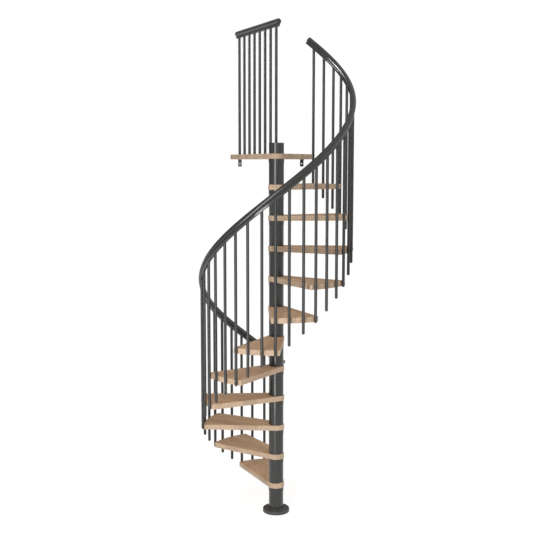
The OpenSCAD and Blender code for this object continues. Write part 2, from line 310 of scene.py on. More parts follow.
def oiled_oak(finish):
    """Oak staves glued edge to edge, planed, sanded and oiled. Every stave has its own pinkish tan,
    grain lines and short pores run along it, joints show as hairlines, and the gloss is a low satin."""
    material, tree = new_finish("oiled_oak_staves")
    grain = add_node(tree, "ShaderNodeAttribute", attribute_name="grain").outputs["Vector"]
    staves = add_node(tree, "ShaderNodeTexBrick", {
        "Vector": grain, "Scale": 1, "Brick Width": finish.stave_l, "Row Height": finish.stave_w,
        "Color1": (0, 0, 0, 1), "Color2": (1, 1, 1, 1), "Mortar": (0.5, 0.5, 0.5, 1),
        "Mortar Size": 0.0005, "Mortar Smooth": 0.2, "Bias": 0,
    }, offset=0.37, offset_frequency=2)
    tint = add_node(tree, "ShaderNodeValToRGB", {"Fac": staves.outputs["Color"]})
    tint.color_ramp.elements[0].color = rgba(finish.oak_deep)
    tint.color_ramp.elements[1].color = rgba(finish.oak_pale)
    tint.color_ramp.elements.new(0.45).color = rgba(finish.oak_mid)
    # Each stave's grain starts somewhere else, so that lines stop at the joints
    start = add_node(tree, "ShaderNodeVectorMath", {0: staves.outputs["Color"], 1: (3.1, 1.7, 0.9)},
                     operation="MULTIPLY")
    own = add_node(tree, "ShaderNodeVectorMath", {0: grain, 1: start.outputs["Vector"]},
                   operation="ADD")
    # Upper and lower faces are level, and the sides upright
    facing = add_node(tree, "ShaderNodeSeparateXYZ", {
        "Vector": add_node(tree, "ShaderNodeNewGeometry").outputs["True Normal"],
    })
    level = add_node(tree, "ShaderNodeMath", {0: facing.outputs["Z"]}, operation="ABSOLUTE")
    # Growth lines about 7 mm apart and 200 mm long, clear on the level faces and faint on the sides
    line_place = add_node(tree, "ShaderNodeMapping", {
        "Vector": own.outputs["Vector"], "Scale": (millimetres(200), millimetres(7), millimetres(7)),
    })
    lines = add_node(tree, "ShaderNodeTexNoise", {
        "Vector": line_place.outputs["Vector"], "Scale": 1, "Detail": 4, "Roughness": 0.6,
        "Distortion": 0.6,
    })
    line_depth = add_node(tree, "ShaderNodeMapRange", {
        "Value": level.outputs["Value"], "From Min": 0.2, "From Max": 0.8,
        "To Min": 0.2, "To Max": 0.5,
    })
    line_share = add_node(tree, "ShaderNodeMapRange", {
        "Value": lines.outputs["Fac"], "From Min": 0.42, "From Max": 0.72, "To Min": 0,
        "To Max": line_depth.outputs["Result"],
    })
    # Pores 0.4 mm wide on real oak, drawn 1.2 mm wide so that they show, and about 16 mm long
    pore_place = add_node(tree, "ShaderNodeMapping", {
        "Vector": own.outputs["Vector"], "Scale": (millimetres(16), millimetres(1.2), millimetres(1.2)),
    })
    pores = add_node(tree, "ShaderNodeTexNoise", {
        "Vector": pore_place.outputs["Vector"], "Scale": 1, "Detail": 2, "Roughness": 0.5,
    })
    pore_share = add_node(tree, "ShaderNodeMapRange", {
        "Value": pores.outputs["Fac"], "From Min": 0.56, "From Max": 0.68,
        "To Min": 0, "To Max": 0.5,
    })
    lined = add_node(tree, "ShaderNodeMix", {
        0: line_share.outputs["Result"], 6: tint.outputs["Color"], 7: rgba(finish.oak_pore),
    }, data_type="RGBA")
    pored = add_node(tree, "ShaderNodeMix", {
        0: pore_share.outputs["Result"], 6: lined.outputs[2], 7: rgba(finish.oak_pore),
    }, data_type="RGBA")
    joint_share = add_node(tree, "ShaderNodeMath", {0: staves.outputs["Fac"], 1: 0.55},
                           operation="MULTIPLY")
    jointed = add_node(tree, "ShaderNodeMix", {
        0: joint_share.outputs["Value"], 6: pored.outputs[2], 7: rgba(finish.oak_pore),
    }, data_type="RGBA")
    # The upright sides are multiplied by a grey-blue tint, so they are darker and greyer than the tops:
    # painted shade, set for how the light falls on the sides
    side = add_node(tree, "ShaderNodeMapRange", {
        "Value": level.outputs["Value"], "From Min": 0.2, "From Max": 0.8, "To Min": 1, "To Max": 0,
    })
    side_shaded = add_node(tree, "ShaderNodeMix", {
        0: side.outputs["Result"], 6: jointed.outputs[2], 7: rgba(finish.oak_side_shade),
    }, data_type="RGBA", blend_type="MULTIPLY")
    gloss = add_node(tree, "ShaderNodeMapRange", {
        "Value": lines.outputs["Fac"], "From Min": 0.3, "From Max": 0.7,
        "To Min": 0.46, "To Max": 0.58,
    })
    relief = add_node(tree, "ShaderNodeMath", {
        0: pore_share.outputs["Result"], 1: staves.outputs["Fac"],
    }, operation="MAXIMUM")
    bump = add_node(tree, "ShaderNodeBump", {
        "Height": relief.outputs["Value"], "Strength": 0.35, "Distance": 0.0003,
    }, invert=True)
    shader = add_node(tree, "ShaderNodeBsdfPrincipled", {
        "Base Color": side_shaded.outputs[2], "Roughness": gloss.outputs["Result"], "IOR": 1.48,
        "Specular IOR Level": 0.15, "Normal": bump.outputs["Normal"],
    })
    add_node(tree, "ShaderNodeOutputMaterial", {"Surface": shader.outputs["BSDF"]})
    return material


# Coats of the steel: the colour's property, roughness, width of the skin's waves in millimetres, weight
# of the clear layer and specular level
COATS = {
    # Smooth satin powder coat with a clear layer: a narrow upright highlight on the dark pole
    "anthracite_powder_coat": ("coat", 0.15, 2.5, 0.2, 0.36),
    # Matt powder coat: a broad faint highlight along each slim baluster
    "anthracite_matt_coat": ("matt_coat", 0.42, 2.5, 0, 0.5),
    # Textured powder coat in a lighter grey than the pole's: painted light that lifts the shade where
    # the flange meets the pole, with hardly a highlight
    "anthracite_textured_coat": ("flange_coat", 0.45, 2.5, 0, 0.25),
    # Smooth satin coat: a fine bright line along the rails
    "anthracite_rail_coat": ("rail_coat", 0.18, 3.5, 0.1, 0.4),
    # Stove paint: dull, nearly black brackets
    "black_stove_paint": ("black", 0.5, 2, 0, 0.5),
}


def coated_steel(name, tone, rough, wave, clear, shine):
    """Steel under a baked coat: an even dark colour, slightly mottled, with a faint orange-peel skin
    under its gloss. The width of the skin's waves is in millimetres, clear is the weight of a clear
    layer over the colour, and shine is the specular level."""
    material, tree = new_finish(name)
    place = add_node(tree, "ShaderNodeTexCoord").outputs["Object"]
    # Clouds of slightly more and less colour and gloss, about 90 mm wide
    cloud = add_node(tree, "ShaderNodeTexNoise", {
        "Vector": place, "Scale": millimetres(90), "Detail": 3,
    })
    mottle = add_node(tree, "ShaderNodeMix", {
        0: cloud.outputs["Fac"],
        6: rgba([c * 0.9 for c in tone]), 7: rgba([c * 1.12 for c in tone]),
    }, data_type="RGBA")
    skin = add_node(tree, "ShaderNodeTexNoise", {
        "Vector": place, "Scale": millimetres(wave), "Detail": 2, "Roughness": 0.4,
    })
    gloss = add_node(tree, "ShaderNodeMapRange", {
        "Value": cloud.outputs["Fac"], "From Min": 0.3, "From Max": 0.7,
        "To Min": rough - 0.03, "To Max": rough + 0.03,
    })
    bump = add_node(tree, "ShaderNodeBump", {
        "Height": skin.outputs["Fac"], "Strength": 0.01, "Distance": 0.0001,
    })
    shader = add_node(tree, "ShaderNodeBsdfPrincipled", {
        "Base Color": mottle.outputs[2], "Roughness": gloss.outputs["Result"], "IOR": 1.5,
        "Specular IOR Level": shine, "Coat Weight": clear, "Coat Roughness": 0.15,
        "Normal": bump.outputs["Normal"],
    })
    add_node(tree, "ShaderNodeOutputMaterial", {"Surface": shader.outputs["BSDF"]})
    return material


def finish_of(name):
    """The named material, made the first time that it is asked for."""
    if name in bpy.data.materials:
        return bpy.data.materials[name]
    finish = bpy.context.scene.stair_finish
    if name == "oiled_oak_staves":
        return oiled_oak(finish)
    tone, *surface = COATS[name]
    return coated_steel(name, getattr(finish, tone), *surface)


# Places on the stair

def on_circle(radius, angle, z=0.0):
    """Point at an angle about the pole."""
    return Vector((radius * math.cos(angle), radius * math.sin(angle), z))


def corner_angle(step):
    """Angle of the baluster at a step's nosing."""
    return START_ANGLE + (step - 1) * STEP_ANGLE


def step_angles(sizes, step):
    """Angles of a step's balusters: the one at the nosing, then those beside the tread."""
    count = sizes.rods_per_step
    pitch = sizes.side_spread * STEP_ANGLE / count
    sides = [STEP_ANGLE / 2 + (i - count / 2) * pitch for i in range(1, count)]
    return [corner_angle(step) + turn for turn in (0, *sides)]


def tread_top(step):
    """Height of a tread's upper face."""
    return FIRST_TOP + (step - 1) * RISE


def steps_at(angle):
    """Steps climbed at an angle, counted from the first corner baluster."""
    return (angle - START_ANGLE) / STEP_ANGLE


def rail_height(sizes, angle):
    """Height of the handrail's axis at an angle."""
    return FIRST_TOP + steps_at(angle) * RISE + sizes.rail_h


def foot_height(sizes, angle):
    """Height of the balusters' lower ends at an angle."""
    return FIRST_TOP + (steps_at(angle) - 1) * RISE - TREAD_T - sizes.rod_drop


def rail_slope():
    """Slope of the handrail."""
    return math.atan2(RISE, ROD_CIRCLE * STEP_ANGLE)


def rail_frame(sizes, angle):
    """Matrix at the handrail's axis: x points outwards, y up along the rail, z squarely up from it."""
    place = Matrix.Translation(on_circle(ROD_CIRCLE, angle, rail_height(sizes, angle)))
    return place @ Matrix.Rotation(angle, 4, "Z") @ Matrix.Rotation(rail_slope(), 4, "X")


def bar_under(sizes):
    """Depth of the bar's underside below the rail's axis, square to the rail."""
    return sizes.rail_flat + sizes.seat_gap + sizes.bar_h


def tread_radius(sizes):
    """Radius of the treads' outer arc."""
    return ROD_CIRCLE - ROD_R - sizes.seat_gap


def edge_lean(sizes):
    """Angle between a tread's outer corner and the normal of its straight edge."""
    return math.acos(sizes.hub_r / tread_radius(sizes))


# Modelling steps that several pieces share

def verts_in(geom):
    """The vertices among an operator's results."""
    return [item for item in geom if isinstance(item, bmesh.types.BMVert)]


def whole_shape(bm):
    """All vertices, edges and faces."""
    return bm.verts[:] + bm.edges[:] + bm.faces[:]


def chain(bm, points, closed=False):
    """Edges through a few points; returns their vertices."""
    verts = [bm.verts.new(p) for p in points]
    pairs = list(zip(verts, verts[1:]))
    if closed:
        pairs.append((verts[-1], verts[0]))
    for pair in pairs:
        bm.edges.new(pair)
    return verts


def profile(bm, points, closed=False):
    """Edges through points in the plane y = 0, given by their x and z."""
    return chain(bm, [(x, 0, z) for x, z in points], closed)


def round_corners(bm, corners, radius, segments):
    """Rounds corners of an outline that has no face yet."""
    bmesh.ops.bevel(
        bm, geom=corners, offset=radius, offset_type="OFFSET", segments=segments, profile=0.5,
        affect="VERTICES", material=-1, clamp_overlap=True,
    )


def ease_edges(bm, edges, radius, segments):
    """Rounds edges of a solid."""
    bmesh.ops.bevel(
        bm, geom=edges, offset=radius, offset_type="OFFSET", segments=segments, profile=0.5,
        affect="EDGES", material=-1, clamp_overlap=True, loop_slide=False,
    )


def arc(bm, start, angle, steps, centre=(0, 0, 0), axis=UP):
    """Edges that a vertex draws as it turns about an axis; returns the last vertex."""
    out = bmesh.ops.spin(bm, geom=[start], cent=centre, axis=axis, angle=angle, steps=steps)
    return verts_in(out["geom_last"])[0]


def turn_full(bm, centre, steps):
    """Turns all of the outline about an upright axis and closes the seam."""
    bmesh.ops.spin(
        bm, geom=whole_shape(bm), cent=centre, axis=UP, angle=FULL_TURN, steps=steps, use_merge=True,
    )
    bmesh.ops.remove_doubles(bm, verts=bm.verts, dist=MERGE)


def close_solid(bm):
    """Merges doubles and points the faces outwards."""
    bmesh.ops.remove_doubles(bm, verts=bm.verts, dist=MERGE)
    bmesh.ops.recalc_face_normals(bm, faces=bm.faces)


def thicken(bm, faces, vec):
    """Extrudes faces into a solid."""
    out = bmesh.ops.extrude_face_region(bm, geom=faces)
    bmesh.ops.translate(bm, verts=verts_in(out["geom"]), vec=vec)
    close_solid(bm)


def add_solid(bm, part):
    """Moves the shape of one bmesh into another."""
    mesh = bpy.data.meshes.new("part")
    part.to_mesh(mesh)
    part.free()
    bm.from_mesh(mesh)
    bpy.data.meshes.remove(mesh)


def make_piece(bm, name, finish, slot, *nodes):
    """Makes a bmesh a piece of the stair that stands for its nodes."""
    close_solid(bm)
    mesh = bpy.data.meshes.new(name)
    bm.to_mesh(mesh)
    bm.free()
    mesh.materials.append(finish_of(finish))
    mesh.shade_smooth()
    mesh.set_sharp_from_angle(angle=SHARP_ANGLE)
    piece = bpy.data.objects.new(name, mesh)
    bpy.context.scene.collection.objects.link(piece)
    piece.modifiers.new("Even shading", "WEIGHTED_NORMAL").keep_sharp = True
    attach(piece, BODY)
    if nodes:
        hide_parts(*nodes)
    return piece


def store_grain(piece, direction, start):
    """Keeps each point's place along, across and through the staves, for the oak's pattern."""
    turn = Matrix.Rotation(-direction, 4, "Z")
    places = [turn @ v.co + start for v in piece.data.vertices]
    grain = piece.data.attributes.new("grain", "FLOAT_VECTOR", "POINT")
    grain.data.foreach_set("vector", [c for p in places for c in p])


def pan_head(radius, sides):
    """Domed head of a screw or bolt with a round socket, on the plane z = 0."""
    height = 0.7 * radius
    shoulder = 0.8 * height
    socket = 0.4 * radius
    socket_floor = 0.3 * height
    bm = bmesh.new()
    verts = profile(bm, [
        (0, socket_floor), (socket, socket_floor), (socket, height),
        (radius, shoulder), (radius, -HEAD_SINK),
    ])
    round_corners(bm, verts[3:4], 0.5 * radius, EASE_FLATS)
    turn_full(bm, (0, 0, 0), sides)
    return bm


def board(bm, sizes, z):
    """Makes the outline in the bmesh a board under a height, with the pole's bore and eased edges."""
    bore_r = CORE_R + sizes.seat_gap
    bmesh.ops.create_circle(
        bm, cap_ends=False, radius=bore_r, segments=BORE_SIDES, matrix=Matrix.Translation((0, 0, z)),
    )
    bmesh.ops.triangle_fill(bm, use_beauty=True, use_dissolve=False, edges=bm.edges[:])
    bmesh.ops.dissolve_limit(
        bm, angle_limit=FLAT_ANGLE, verts=[], edges=bm.edges[:], use_dissolve_boundaries=False,
    )
    thicken(bm, bm.faces[:], (0, 0, -TREAD_T))
    # All level edges are eased except those of the bore
    rim = [
        e for e in bm.edges
        if abs(e.verts[0].co.z - e.verts[1].co.z) < MERGE
        and e.calc_face_angle(0) > RIM_ANGLE
        and min(v.co.xy.length for v in e.verts) > bore_r + MERGE
    ]
    ease_edges(bm, rim, sizes.wood_ease, EASE_FLATS)


class STAIR_OT_treads(bpy.types.Operator):
    """Oak winder treads, each a wedge with a round end at the pole"""

    bl_idname = "stair.treads"
    bl_label = "Treads"

    def execute(self, context):
        sizes = context.scene.stair_sizes
        lean = edge_lean(sizes)
        for step in range(1, STEP_COUNT + 1):
            front = corner_angle(step) - sizes.nosing_lap
            rear = corner_angle(step + 1) + sizes.rear_lap
            top = tread_top(step)
            bm = bmesh.new()
            hub_start = bm.verts.new(on_circle(sizes.hub_r, rear + lean, top))
            hub_end = arc(bm, hub_start, FULL_TURN - (rear - front) - 2 * lean, HUB_FLATS)
            nose = bm.verts.new(on_circle(tread_radius(sizes), front, top))
            tail = arc(bm, nose, rear - front, RIM_FLATS)
            bm.edges.new((hub_end, nose))
            bm.edges.new((tail, hub_start))
            round_corners(bm, [nose, tail], sizes.corner_r, ROUND_FLATS)
            board(bm, sizes, top)
            piece = make_piece(bm, f"oak_tread_{step}", "oiled_oak_staves", "oak", f"tread_{step}")
            along_front = front - lean + math.pi / 2
            store_grain(piece, along_front, Vector([shift * step for shift in TREAD_STAVES]))
        return {"FINISHED"}


class STAIR_OT_landing(bpy.types.Operator):
    """Oak landing with a straight back edge and a round end at the pole"""

    bl_idname = "stair.landing"
    bl_label = "Landing"

    def execute(self, context):
        sizes = context.scene.stair_sizes
        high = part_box("landing")[1]
        front_normal = LANDING_ANGLE - sizes.nosing_lap - edge_lean(sizes)
        back_left = Vector((-sizes.landing_left, high.y, LANDING_TOP))
        back_right = Vector((high.x, high.y, LANDING_TOP))
        left_lean = math.acos(sizes.hub_r / back_left.xy.length)
        left_normal = math.atan2(back_left.y, back_left.x) + left_lean
        bm = bmesh.new()
        hub_start = bm.verts.new(on_circle(sizes.hub_r, left_normal, LANDING_TOP))
        hub_end = arc(bm, hub_start, (front_normal - left_normal) % FULL_TURN, HUB_FLATS)
        along_front = on_circle(1, front_normal + math.pi / 2)
        run = (high.x - hub_end.co.x) / along_front.x
        corners = chain(bm, (hub_end.co + along_front * run, back_right, back_left))
        bm.edges.new((hub_end, corners[0]))
        bm.edges.new((corners[-1], hub_start))
        round_corners(bm, corners, sizes.corner_r, ROUND_FLATS)
        board(bm, sizes, LANDING_TOP)
        piece = make_piece(bm, "oak_landing", "oiled_oak_staves", "oak", "landing")
        store_grain(piece, 0, Vector(LANDING_STAVES))
        return {"FINISHED"}


class STAIR_OT_pole(bpy.types.Operator):
    """Spacer sleeves with their collars, and the pole's closed end"""

    bl_idname = "stair.pole"
    bl_label = "Pole"

    def execute(self, context):
        sizes = context.scene.stair_sizes
        inner = SLEEVE_R - sizes.sleeve_wall
        for step in range(1, STEP_COUNT + 2):
            low, high = (corner.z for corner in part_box(f"sleeve_{step}"))
            shoulder = high - sizes.collar_h
            bm = bmesh.new()
            verts = profile(bm, [
                (inner, low), (SLEEVE_R, low), (SLEEVE_R, shoulder),
                (COLLAR_R, shoulder), (COLLAR_R, high), (inner, high),
            ], closed=True)
            round_corners(bm, verts[1:5], sizes.steel_ease, EASE_FLATS)
            turn_full(bm, (0, 0, 0), POLE_SIDES)
            make_piece(
                bm, f"spacer_sleeve_{step}",
                "anthracite_powder_coat", "anthracite_steel", f"sleeve_{step}",
            )
        low, high = (corner.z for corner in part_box("top_sleeve"))
        lid_low = high - sizes.pole_lid
        bm = bmesh.new()
        verts = profile(bm, [
            (0, high), (SLEEVE_R, high), (SLEEVE_R, low), (inner, low), (inner, lid_low), (0, lid_low),
        ])
        round_corners(bm, verts[1:3], 2 * sizes.steel_ease, EASE_FLATS)
        turn_full(bm, (0, 0, 0), POLE_SIDES)
        make_piece(bm, "pole_end", "anthracite_powder_coat", "anthracite_steel", "top_sleeve")
        # The tube inside the sleeves keeps its solid and gets their finish
        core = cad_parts["centre_tube"]
        core.data.materials.clear()
        core.data.materials.append(finish_of("anthracite_powder_coat"))
        return {"FINISHED"}


class STAIR_OT_base(bpy.types.Operator):
    """Round base flange with a softened edge, welded to the pole, and its four bolts"""

    bl_idname = "stair.base"
    bl_label = "Base flange"

    def execute(self, context):
        sizes = context.scene.stair_sizes
        # The weld rises just inside the face of the first sleeve
        seam = SLEEVE_R - sizes.steel_ease
        rise = FLANGE_T + sizes.weld + sizes.steel_ease
        bm = bmesh.new()
        verts = profile(bm, [
            (0, rise), (seam, rise), (seam, FLANGE_T), (FLANGE_R, FLANGE_T), (FLANGE_R, 0), (0, 0),
        ])
        round_corners(bm, verts[2:3], sizes.weld, ROUND_FLATS)
        round_corners(bm, verts[3:4], sizes.flange_round, ROUND_FLATS)
        turn_full(bm, (0, 0, 0), FLANGE_SIDES)
        # The flange takes the lighter coat: painted light over the shade and dark reflections at the
        # pole's foot
        make_piece(bm, "floor_flange", "anthracite_textured_coat", "anthracite_steel", "base_flange")
        bm = bmesh.new()
        for bolt in range(BOLT_COUNT):
            turn = sizes.bolt_turn + bolt * FULL_TURN / BOLT_COUNT
            head = pan_head(sizes.bolt_d / 2, BOLT_SIDES)
            place = on_circle(sizes.bolt_circle / 2, turn, FLANGE_T)
            bmesh.ops.translate(head, verts=head.verts, vec=place)
            add_solid(bm, head)
        # The bolt heads take the same lighter coat: painted light, so they don't show as dark spots
        make_piece(bm, "flange_bolts", "anthracite_textured_coat", "anthracite_steel")
        return {"FINISHED"}


def rod(place, low, round_end, cut_at, cut_normal):
    """Upright rod from a height up to a plane, with a flat or a round lower end."""
    bm = bmesh.new()
    axis_foot = Vector((place.x, place.y, low))
    start = bm.verts.new(axis_foot)
    if round_end:
        side = arc(bm, start, -math.pi / 2, ROUND_FLATS, axis_foot + ROD_R * UP, Vector((0, 1, 0)))
    else:
        side = bm.verts.new(axis_foot + Vector((ROD_R, 0, 0)))
        bm.edges.new((start, side))
    # The rod runs past the plane, which then trims it
    top = bm.verts.new(Vector((side.co.x, side.co.y, cut_at.z + 3 * ROD_R)))
    bm.edges.new((side, top))
    turn_full(bm, axis_foot, ROD_SIDES)
    cut = bmesh.ops.bisect_plane(
        bm, geom=whole_shape(bm), dist=MERGE, plane_co=cut_at, plane_no=cut_normal, clear_outer=True,
    )
    ring = [e for e in cut["geom_cut"] if isinstance(e, bmesh.types.BMEdge)]
    bmesh.ops.edgeloop_fill(bm, edges=ring)
    close_solid(bm)
    return bm


def rail_rod(sizes, angle):
    """Baluster at an angle, up to the bar under the handrail. The first one stands on its plate."""
    at_rail = rail_frame(sizes, angle)
    seat = at_rail @ Vector((0, 0, -bar_under(sizes) - sizes.seat_gap))
    normal = at_rail.to_3x3() @ UP
    low = foot_height(sizes, angle)
    place = on_circle(ROD_CIRCLE, angle)
    if low < 0:
        return rod(place, sizes.plate_t, False, seat, normal)
    return rod(place, low, True, seat, normal)


class STAIR_OT_balusters(bpy.types.Operator):
    """Balusters of the stair, and the floor plate under the first one"""

    bl_idname = "stair.balusters"
    bl_label = "Balusters"

    def execute(self, context):
        sizes = context.scene.stair_sizes
        for step in range(1, STEP_COUNT + 1):
            bm = bmesh.new()
            for angle in step_angles(sizes, step):
                add_solid(bm, rail_rod(sizes, angle))
            make_piece(
                bm, f"baluster_rods_{step}",
                "anthracite_matt_coat", "anthracite_steel", f"balusters_{step}",
            )
        make_piece(
            rail_rod(sizes, LANDING_ANGLE), "baluster_rod_top",
            "anthracite_matt_coat", "anthracite_steel", "top_baluster",
        )
        place = on_circle(ROD_CIRCLE, START_ANGLE)
        radius = sizes.plate_d / 2
        bm = bmesh.new()
        verts = chain(bm, [
            place, place + Vector((radius, 0, 0)), place + Vector((radius, 0, sizes.plate_t)),
            place + Vector((0, 0, sizes.plate_t)),
        ])
        round_corners(bm, verts[2:3], 1.5 * sizes.steel_ease, EASE_FLATS)
        turn_full(bm, place, PLATE_SIDES)
        make_piece(bm, "floor_plate", "anthracite_matt_coat", "anthracite_steel", "start_plate")
        return {"FINISHED"}


def rail_section(bm, sizes, matrix):
    """Face of the rail's round section with its flat underside, in the plane of x and z."""
    bmesh.ops.create_circle(
        bm, cap_ends=True, radius=sizes.rail_d / 2, segments=RAIL_SIDES,
        matrix=Matrix.Rotation(math.pi / 2, 4, "X"),
    )
    bmesh.ops.bisect_plane(
        bm, geom=whole_shape(bm), dist=MERGE, plane_co=(0, 0, -sizes.rail_flat), plane_no=UP,
        clear_inner=True,
    )
    bmesh.ops.transform(bm, matrix=matrix, verts=bm.verts)


def bar_section(bm, sizes, matrix):
    """Face of the bar's section under the rail, with eased corners, in the plane of x and z."""
    half = sizes.bar_w / 2
    top = -sizes.rail_flat - sizes.seat_gap
    low = -bar_under(sizes)
    corners = profile(bm, [(-half, low), (half, low), (half, top), (-half, top)], closed=True)
    round_corners(bm, corners, sizes.bar_ease, EASE_FLATS)
    bmesh.ops.edgeloop_fill(bm, edges=bm.edges[:])
    bmesh.ops.transform(bm, matrix=matrix, verts=bm.verts)


def rail_middle(end, sizes):
    """Place of the rail's axis on a flat end."""
    flat = max(end.edges, key=lambda e: e.calc_length())
    foot = (flat.verts[0].co + flat.verts[1].co) / 2
    centre = end.calc_center_median()
    return foot + (centre - foot).normalized() * sizes.rail_flat


def dome_ends(bm, sizes):
    """Raises the two flat ends of a rail into shallow domes, ring by ring."""
    radius = sizes.rail_d / 2
    sphere = (radius ** 2 + sizes.rail_cap ** 2) / (2 * sizes.rail_cap)
    heights = [math.sqrt(sphere ** 2 - (radius * share) ** 2) for share in DOME_RINGS]
    # The faces along the rail have four corners, and its two ends have more
    for end in [f for f in bm.faces if len(f.verts) > 4]:
        middle = rail_middle(end, sizes)
        normal = end.normal.copy()
        faces = [end]
        for i in range(1, len(DOME_RINGS)):
            out = bmesh.ops.extrude_face_region(bm, geom=faces)
            bmesh.ops.delete(bm, geom=faces, context="FACES_ONLY")
            verts = verts_in(out["geom"])
            faces = [f for f in out["geom"] if isinstance(f, bmesh.types.BMFace)]
            shrink = DOME_RINGS[i] / DOME_RINGS[i - 1]
            lift = normal * (heights[i] - heights[i - 1])
            bmesh.ops.scale(bm, vec=(shrink,) * 3, space=Matrix.Translation(-middle), verts=verts)
            bmesh.ops.translate(bm, verts=verts, vec=lift)
            middle = middle + lift


def wind(bm, sizes, first, last):
    """Winds the section in the bmesh up the handrail's helix between two angles."""
    count = math.ceil((last - first) / RAIL_STEP)
    climb = rail_height(sizes, last) - rail_height(sizes, first)
    bmesh.ops.spin(
        bm, geom=whole_shape(bm), cent=(0, 0, 0), axis=UP, dvec=climb / count * UP,
        angle=last - first, steps=count,
    )
    close_solid(bm)


class STAIR_OT_handrail(bpy.types.Operator):
    """Round handrail wound along the balusters, and the bar that carries it"""

    bl_idname = "stair.handrail"
    bl_label = "Handrail"

    def execute(self, context):
        sizes = context.scene.stair_sizes
        first = START_ANGLE - sizes.rail_lead
        last = LANDING_ANGLE + sizes.rail_tail
        bm = bmesh.new()
        rail_section(bm, sizes, rail_frame(sizes, first))
        wind(bm, sizes, first, last)
        dome_ends(bm, sizes)
        make_piece(
            bm, "round_handrail", "anthracite_rail_coat", "handrail",
            "handrail", "handrail_cap_low", "handrail_cap_high",
        )
        bm = bmesh.new()
        bar_section(bm, sizes, rail_frame(sizes, first))
        wind(bm, sizes, first, last)
        make_piece(bm, "rail_bar", "anthracite_powder_coat", "anthracite_steel", "handrail_bar")
        return {"FINISHED"}


def rods_of(node):
    """Axis places of the upright rods in a node, from the first rod at the pole outwards."""
    mesh = bmesh.new()
    mesh.from_mesh(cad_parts[node].data)
    bmesh.ops.remove_doubles(mesh, verts=mesh.verts, dist=MERGE)
    found = []
    for v in mesh.verts:
        # Points less than two diameters apart are on one rod
        near = [points for points in found if (points[0] - v.co).xy.length < 4 * ROD_R]
        if near:
            near[0].append(v.co.copy())
        else:
            found.append([v.co.copy()])
    mesh.free()
    middles = []
    for points in found:
        xs = [p.x for p in points]
        ys = [p.y for p in points]
        middles.append(Vector(((min(xs) + max(xs)) / 2, (min(ys) + max(ys)) / 2, 0)))
    return sorted(middles, key=lambda p: p.length)


class STAIR_OT_landing_railing(bpy.types.Operator):
    """Straight railing on the landing: rail, bar and balusters"""

    bl_idname = "stair.landing_railing"
    bl_label = "Landing railing"

    def execute(self, context):
        sizes = context.scene.stair_sizes
        rods = rods_of("landing_balusters")
        first, last = rods[0], rods[-1]
        run = (last - first).xy.length
        turn = math.atan2(last.y - first.y, last.x - first.x) - math.pi / 2
        axis_z = LANDING_RAIL_TOP - sizes.rail_d / 2
        along = Matrix.Translation((first.x, first.y, axis_z)) @ Matrix.Rotation(turn, 4, "Z")
        over = sizes.landing_over
        for section, name, finish, slot, node in (
            (rail_section, "landing_handrail", "anthracite_rail_coat", "handrail", "landing_rail"),
            (bar_section, "landing_bar", "anthracite_powder_coat", "anthracite_steel",
             "landing_rail_bar"),
        ):
            bm = bmesh.new()
            section(bm, sizes, along @ Matrix.Translation((0, -over, 0)))
            thicken(bm, bm.faces[:], along.to_3x3() @ Vector((0, run + 2 * over, 0)))
            if section is rail_section:
                dome_ends(bm, sizes)
            make_piece(bm, name, finish, slot, node)
        bm = bmesh.new()
        for place in rods:
            seat = Vector((place.x, place.y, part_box("landing_rail_bar")[0].z))
            add_solid(bm, rod(place, LANDING_TOP, False, seat, UP))
        make_piece(bm, "landing_rods", "anthracite_matt_coat", "anthracite_steel", "landing_balusters")
        return {"FINISHED"}


